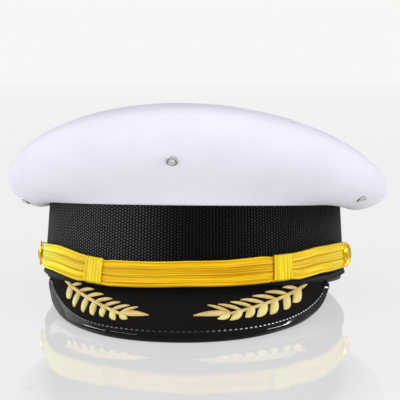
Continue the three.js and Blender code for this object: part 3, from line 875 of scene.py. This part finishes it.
def build_binding(material):
    share = np.linspace(-BINDING_END, BINDING_END, 201)
    flap = flap_share(share)
    lift_here = edge_lift(share)[:, None]

    def loop(lift, tuck):
        columns = []
        for part in np.linspace(0, 1, 7):
            point, normal, _ = visor_axes(share, 1 - flap * (1 - part))
            rise = lift - tuck * (1 - part) ** 6
            columns.append(point + normal * rise)
        point, normal, slope = visor_axes(share, np.ones_like(share))
        for turn in np.linspace(0, math.pi, 15)[1:-1]:
            columns.append(point + normal * lift * math.cos(turn) + slope * lift * math.sin(turn))
        for part in np.linspace(1, 0, 4):
            point, normal, _ = visor_axes(share, 1 - flap * (1 - part))
            columns.append(point - normal * lift)
        return np.stack(columns, axis=1)

    inside = VISOR_BOARD / 2 + 0.05
    binding = shell("patent_edge", loop(lift_here, BINDING_TUCK), loop(inside, 0.0), material)
    dress(binding, "visor_binding")


def build_stitches(material):
    """The row of stitches along the binding's inner edge, each a small raised thread."""
    fine = np.linspace(-STITCH_ROW_END, STITCH_ROW_END, 4001)
    line = visor_point(fine, 1 - flap_share(fine) * STITCH_PLACE)
    run = np.concatenate([[0], np.cumsum(np.linalg.norm(np.diff(line, axis=0), axis=-1))])
    parts = []
    for start in np.arange(0.6, run[-1] - STITCH_PITCH, STITCH_PITCH):
        ends = np.interp([start, start + STITCH_PITCH * STITCH_LONG], run, fine)
        share = np.linspace(*ends, 5)
        spot, up, _ = visor_axes(share, 1 - flap_share(share) * STITCH_PLACE)
        ahead = unit(spot[-1] - spot[0])
        arch = np.sin(np.linspace(0, math.pi, 5))
        middle = spot + up * (edge_lift(share) - STITCH_SUNK + STITCH_ARCH * arch)[:, None]
        across = np.cross(ahead, up[2])
        radius = STITCH_RADIUS + STITCH_SWELL * arch
        turns = np.linspace(0, 2 * math.pi, 6, endpoint=False)
        ring = np.cos(turns)[:, None] * across + np.sin(turns)[:, None] * up[2]
        outer = middle[:, None, :] + ring[None, :, :] * radius[:, None, None]
        inner = np.broadcast_to(middle[:, None, :], outer.shape)
        parts.append(shell_parts(outer, inner * 0.999999 + outer * 1e-6, wrap_columns=True))
    stitches = joined_shells("visor_stitches", parts, material)
    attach(stitches, "root")


def build_welt(material):
    turns = np.linspace(-1, 1, 161) * WELT["end"]
    size = np.minimum(1, WELT["end_size"] + (WELT["end"] - np.abs(turns)) / WELT["taper"])[:, None]
    reach = WELT["out"] * mix(1, WELT["thin_share"], smooth(np.abs(turns), *WELT["thins"]))[:, None]
    bend = np.linspace(0, 1, 15)[None, :]
    swell = np.sin(math.pi * (0.18 + 0.7 * bend)) ** 0.8
    up = mix(0.9, 1 - bend, size)
    raised = WELT["end_rise"] * smooth(np.abs(turns), *WELT["rises"])[:, None]
    height = mix(WELT["foot"] + raised, WELT["height"] + raised / 5, up)
    out = CLEARANCE + reach * swell * size
    angle = np.broadcast_to(turns[:, None], height.shape)
    outer = band_point(angle, height, out)
    inner = band_point(angle, height, np.full_like(height, 0.05))
    dress(shell("seam_welt", outer, inner, material), "visor_welt")


# The embroidered branches

def above_visor(x, y, height):
    """The points above the visor's top at places in plan, found by stepping towards them."""
    nudge = 1e-3
    share = x / VISOR_HALF_WIDTH / 1.6
    down = np.full_like(share, 0.5)
    for _ in range(20):
        here = visor_point(share, down)
        by_share = (visor_point(share + nudge, down) - here) / nudge
        by_down = (visor_point(share, down + nudge) - here) / nudge
        miss_x, miss_y = x - here[..., 0], y - here[..., 1]
        scale = by_share[..., 0] * by_down[..., 1] - by_share[..., 1] * by_down[..., 0]
        share = share + (miss_x * by_down[..., 1] - miss_y * by_down[..., 0]) / scale
        down = down + (by_share[..., 0] * miss_y - by_share[..., 1] * miss_x) / scale
        share = np.clip(share, -0.96, 0.96)
        down = np.clip(down, 0.02, 0.98)
    point, normal, _ = visor_axes(share, down)
    return point + normal * (VISOR_BOARD / 2 + height)[..., None]


def blade(line, width, tall, profile):
    """A raised blade along a line in plan, rounded across."""
    way = unit(np.gradient(line, axis=0))
    sideways = np.stack([-way[:, 1], way[:, 0]], axis=-1)
    full = profile(np.linspace(0, 1, len(line)))
    side = np.linspace(-1, 1, 9)[None, :]
    reach = side * (width * full / 2)[:, None]
    places = line[:, None, :] + sideways[:, None, :] * reach[..., None]
    height = 0.12 + tall * (0.4 + 0.6 * full)[:, None] * np.sqrt(np.maximum(0, 1 - side**2))
    top = above_visor(places[..., 0], places[..., 1], height)
    base = above_visor(places[..., 0], places[..., 1], np.zeros_like(height))
    return shell_parts(top, base)


def leaf_shape(run):
    return np.maximum(0.06, np.sin(math.pi * run**0.85) ** 0.8)


def build_branch(spot, material):
    side = spot["side"]
    root, bend, tip = (np.array([side * spot[key][0], -spot[key][1]]) for key in ("root", "bend", "tip"))

    def stem(share):
        share = np.asarray(share, float)[..., None]
        return (1 - share) ** 2 * root + 2 * share * (1 - share) * bend + share**2 * tip

    def leaf(share, turn, long, wide, curl):
        start = stem(share)
        way = stem(share + 0.01) - stem(share - 0.01)
        run = np.linspace(0, 1, 19)
        heading = math.atan2(way[1], way[0]) + turn + curl * (run - 0.5)
        steps = np.stack([np.cos(heading), np.sin(heading)], axis=-1) * long / 18
        line = start + np.concatenate([[[0.0, 0.0]], np.cumsum(steps[:-1], axis=0)])
        return blade(line, wide, BRANCH_RAISED, leaf_shape)

    outer_turn, inner_turn = side * spot["outer_turn"], -side * spot["inner_turn"]
    parts = [
        leaf(along, outer_turn * rad(turn), long * spot["outer_grow"], wide, -side * 0.3)
        for along, long, turn, wide in OUTER_LEAVES
    ]
    warm = [
        leaf(along, inner_turn * rad(turn), long * spot["inner_grow"], wide, side * 0.2)
        for along, long, turn, wide in INNER_LEAVES
    ]
    warm.append(leaf(0.98, -side * spot["end_turn"], spot["end_long"], END_LEAF_WIDE, 0))
    warm.append(blade(stem(np.linspace(0, 1, 41)), STEM_WIDTH, BRANCH_RAISED * 0.8, np.ones_like))
    for points, faces, corners in warm:
        parts.append((points, faces, [(u + WARM_THREAD, v) for u, v in corners]))
    branch = joined_shells(spot["node"] + "_embroidery", parts, material)
    dress(branch, spot["node"])


# The strap, its slides and its buttons

def strap_axes(angle):
    side = np.sin(angle) ** 2
    lean = STRAP_FRONT_LEAN * (1 - side)
    places, rises = zip(*STRAP_RISE)
    height = mix(STRAP_FRONT_TOP, STRAP_SIDE_TOP, side) + np.interp(np.degrees(angle), places, rises)
    outward = band_outward(angle)
    at_side = np.where(angle < 0, STRAP_LEFT_STAND_OFF, STRAP_RIGHT_STAND_OFF)
    stand_off = mix(STRAP_STAND_OFF, at_side, smooth(np.abs(angle), *STRAP_SETTLES))
    top = band_point(angle, height, stand_off + STRAP_THICK)
    up = np.array([0.0, 0.0, 1.0])
    across = outward * np.sin(lean)[..., None] - up * np.cos(lean)[..., None]
    facing = outward * np.cos(lean)[..., None] + up * np.sin(lean)[..., None]
    return top, across, facing


def strap_point(angle, down, proud):
    angle, down, proud = np.broadcast_arrays(*(np.asarray(v, float) for v in (angle, down, proud)))
    top, across, facing = strap_axes(angle)
    return top + across * down[..., None] + facing * proud[..., None]


def build_strap():
    last = BUTTON_ANGLE + STRAP_END_PAST / BAND_HALF_WIDTH
    angle = np.linspace(-last, last, 481)[:, None]
    past = np.maximum(0, np.abs(angle) - BUTTON_ANGLE) / (last - BUTTON_ANGLE)
    half = STRAP_WIDTH / 2 - STRAP_END_THINNED * smooth(-angle, *STRAP_THINS)
    for spot in SLIDES:
        half = half - SLIDE_PINCH * np.exp(-((angle - spot["angle"]) / SLIDE_PINCH_REACH) ** 4)
    half = half * np.sqrt(1 - 0.96 * past**2)
    share = np.linspace(0, 1, 97)[None, :]
    # Rounded lanes with grooves between them, and finer cords on each.
    lanes = np.ones_like(share)
    for groove, depth in zip(GROOVES, GROOVE_DEPTHS):
        lanes = lanes - depth * np.exp(-((share - groove) / GROOVE_WIDE) ** 2)
    cords = np.abs(np.sin(math.pi * share * STRAP_CORDS)) ** 0.7
    relief = LANE_RELIEF * (lanes - 1) + CORD_RELIEF * (cords - 1)
    edge = np.minimum(1, np.minimum(share, 1 - share) / STRAP_EDGE) ** 0.5
    down = STRAP_WIDTH / 2 + half * (2 * share - 1)
    outer = strap_point(angle, down, relief - STRAP_EDGE_FALL * (1 - edge))
    inner = strap_point(angle, down, -STRAP_THICK + STRAP_EDGE_RISE * (1 - edge))
    width = lengths_along(outer[len(outer) // 2 - 5:len(outer) // 2 + 5], 1)[-1] * MM
    strap = shell("gold_strap", outer, inner, gold_lace(float(width)))
    dress(strap, "chin_strap")


def build_slide(spot, material):
    half = SLIDE_LONG / 2 / BAND_HALF_WIDTH
    share = np.linspace(0, 1, 61)
    turns = spot["angle"] + half * (2 * share - 1)
    cords = SLIDE_CORD_RELIEF * np.abs(np.sin(math.pi * share * SLIDE_CORDS)) ** 0.6

    def loop(room, proud, relief):
        top, bottom = SLIDE_PINCH - room, STRAP_WIDTH - SLIDE_PINCH + room
        front, back = proud, -STRAP_THICK - room
        corner = [
            (SLIDE_CORNER * (1 - math.cos(turn)), front - SLIDE_CORNER * (1 - math.sin(turn)))
            for turn in np.linspace(0, math.pi / 2, 5)
        ]
        places = [(top, back), (top, mix(back, front, 0.5))]
        places += [(top + inwards, height) for inwards, height in corner]
        places += [(mix(top, bottom, part), front) for part in (0.25, 0.5, 0.75)]
        places += [(bottom - inwards, height) for inwards, height in reversed(corner)]
        places += [(bottom, mix(back, front, 0.5)), (bottom, back)]
        down, out = (np.array(values)[None, :] for values in zip(*places))
        middle = STRAP_WIDTH / 2
        grow = 1 + relief[:, None] / (middle + room)
        askew = spot["skew"] * (down / STRAP_WIDTH - 0.5)
        lifted = out + relief[:, None] * smooth(out, back, front)
        return strap_point(turns[:, None] + askew, middle + (down - middle) * grow, lifted)

    outer = loop(SLIDE_ROOM, SLIDE_PROUD, cords)
    inner = loop(SLIDE_INNER_ROOM, SLIDE_INNER_PROUD, np.zeros_like(cords))
    slide = shell(spot["name"], outer, inner, material, wrap_columns=True)
    dress(slide, spot["node"])


def build_button(side, node, material):
    angle = np.array(side * BUTTON_ANGLE)
    _, _, facing = strap_axes(angle)
    forward = max(side, 0) * BUTTON_TURN
    facing = facing @ np.array([
        [math.cos(forward), -math.sin(forward), 0], [math.sin(forward), math.cos(forward), 0], [0, 0, 1],
    ])
    centre = strap_point(angle, STRAP_WIDTH / 2, 0.0)
    stand_off = STRAP_LEFT_STAND_OFF if side < 0 else STRAP_RIGHT_STAND_OFF
    behind = -STRAP_THICK - stand_off + CLEARANCE / 2
    top = CLEARANCE + BUTTON_RIM
    face = top - BUTTON_SUNK
    dome = [(BUTTON_RADIUS - BUTTON_RIM_WIDE, face), (BUTTON_BOSS + 0.5, face)]
    dome += [
        (BUTTON_BOSS * math.cos(turn), top - 0.5 + BUTTON_DOME * math.sin(turn))
        for turn in np.linspace(0, math.pi / 2, 16)
    ]
    rolled = [
        (BUTTON_RADIUS - BUTTON_ROLL * (1 - math.cos(turn)), top - 0.4 + BUTTON_ROLL * math.sin(turn))
        for turn in np.linspace(-math.pi / 2, math.pi * 0.9, 12)
    ]
    profile = [(0, behind), (BUTTON_SHANK, behind), (BUTTON_SHANK, CLEARANCE)]
    profile += [(BUTTON_RADIUS - 0.6, CLEARANCE), *rolled, *dome]
    dress(lathe(node + "_dome", profile, centre, facing, material, 64), node)


# The stage: a glossy pale table, the camera and the light

PHOTO_PIXELS = 400
FOCAL_PIXELS = 1221.4
CAMERA_BACK = 700.3  # distance from the cap's centre, level
CAMERA_UP = 134.0
CAMERA_ACROSS = 3.0
CAMERA_DOWN = rad(6.56)
CAMERA_YAW = rad(4.7)
TABLE_HALF = 6.0  # in metres, as are the lights' places and sizes
LIGHT_TARGET = (0, 0, 0.05)


def build_camera():
    data = bpy.data.cameras.new("camera")
    data.sensor_width = 36.0
    data.lens = 36.0 * FOCAL_PIXELS / PHOTO_PIXELS
    data.clip_end = 50.0
    camera = add_object("camera", data)
    x = CAMERA_ACROSS * math.cos(CAMERA_YAW) + CAMERA_BACK * math.sin(CAMERA_YAW)
    y = CAMERA_ACROSS * math.sin(CAMERA_YAW) - CAMERA_BACK * math.cos(CAMERA_YAW)
    camera.location = ((x + CAP_ORIGIN[0]) * MM, (y + CAP_ORIGIN[1]) * MM, CAMERA_UP * MM)
    camera.rotation_euler = (math.pi / 2 - CAMERA_DOWN, 0, CAMERA_YAW)
    bpy.context.scene.camera = camera


def build_table():
    """A glossy sheet that is pale mostly by a light of its own."""
    material, tree, shader = new_material("table")
    set_inputs(shader, {
        "Base Color": (0.20, 0.203, 0.203, 1), "Roughness": 0.6, "Specular IOR Level": 0.0,
        "Emission Color": (0.985, 1.0, 0.99, 1), "Emission Strength": 0.69,
        "Coat Weight": 0.7, "Coat Roughness": 0.04, "Coat IOR": 1.5,
    })
    mesh = bpy.data.meshes.new("table")
    corners = [(x * TABLE_HALF, y * TABLE_HALF, 0) for x, y in ((-1, -1), (1, -1), (1, 1), (-1, 1))]
    mesh.from_pydata(corners, [], [(0, 1, 2, 3)])
    mesh.materials.append(material)
    add_object("table", mesh)


def area_light(name, place, width, height, power, glints_only=False):
    """A rectangle that faces the cap and gives either soft light alone or glints alone."""
    data = bpy.data.lights.new(name, "AREA")
    data.shape = "RECTANGLE"
    data.size = width
    data.size_y = height
    data.energy = power
    light = add_object(name, data)
    light.location = place
    direction = np.array(LIGHT_TARGET) - np.array(place)
    yaw = math.atan2(-direction[0], direction[1])
    fall = math.atan2(math.hypot(direction[0], direction[1]), -direction[2])
    light.rotation_euler = (fall, 0, yaw)
    light.visible_diffuse = not glints_only
    light.visible_camera = False
    light.visible_glossy = glints_only


def build_light():
    """A room that is white behind the cap and greyer elsewhere, with its seven lights."""
    world = bpy.data.worlds.new("studio")
    world.use_nodes = True
    tree = world.node_tree
    sky = tree.nodes["Background"]
    coords = tree.nodes.new("ShaderNodeTexCoord")
    split = tree.nodes.new("ShaderNodeSeparateXYZ")
    tree.links.new(coords.outputs["Generated"], split.inputs[0])
    behind = math_node(tree, "MULTIPLY_ADD", split.outputs[1], 0.5, 0.5)
    height = times(tree, split.outputs[2], 0.1)
    tone = ramp(tree, math_node(tree, "SUBTRACT", behind, height), [
        (0.25, (0.62, 0.62, 0.63)), (0.58, (0.62, 0.62, 0.63)), (0.91, (0.93, 0.935, 0.92)),
    ])
    tree.links.new(tone, sky.inputs[0])
    sky.inputs[1].default_value = 1.0
    bpy.context.scene.world = world
    area_light("left_soft_light", (-1.2, -0.8, 0.06), 0.8, 0.4, 9.0)
    area_light("right_soft_light", (1.15, -0.6, 0.2), 0.6, 0.5, 7.2)
    area_light("front_soft_light", (-0.3, -1.5, 0.14), 0.9, 0.4, 6.4)
    area_light("left_glint_light", (-1.1, 0.02, 0.51), 0.6, 0.06, 8.0, glints_only=True)
    area_light("right_glint_light", (1.06, 0.24, 0.56), 0.5, 0.06, 9.0, glints_only=True)
    area_light("upper_glint_light", (-0.88, -0.56, 0.71), 0.6, 0.05, 5.0, glints_only=True)
    area_light("rear_glint_light", (-0.95, 0.66, 0.5), 1.0, 0.6, 2.2, glints_only=True)


def build_cap():
    white = white_cloth()
    patent = patent_leather()
    folded_lace = slide_lace()
    thread = gold_thread()
    gilt = metal("gilt_metal", (0.56, 0.30, 0.01), (0.82, 0.53, 0.03), 0.36)
    nickel = metal("nickel", (0.62, 0.62, 0.63), (0.78, 0.78, 0.79), 0.25)
    build_crown(white)
    build_braid(black_braid())
    build_visor(black_cloth())
    build_binding(patent)
    build_stitches(stitch_thread())
    build_welt(welt_leather())
    for spot in BRANCHES:
        build_branch(spot, thread)
    build_strap()
    for spot in SLIDES:
        build_slide(spot, folded_lace)
    build_button(-1, "button_left", gilt)
    build_button(1, "button_right", gilt)
    for spot in EYELETS:
        build_eyelet(spot, nickel)
    frame_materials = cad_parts["band_frame"].data.materials
    frame_materials.clear()
    frame_materials.append(frame_board())


build_cap()
build_table()
build_light()
build_camera()
bpy.context.scene.view_settings.view_transform = "Standard"
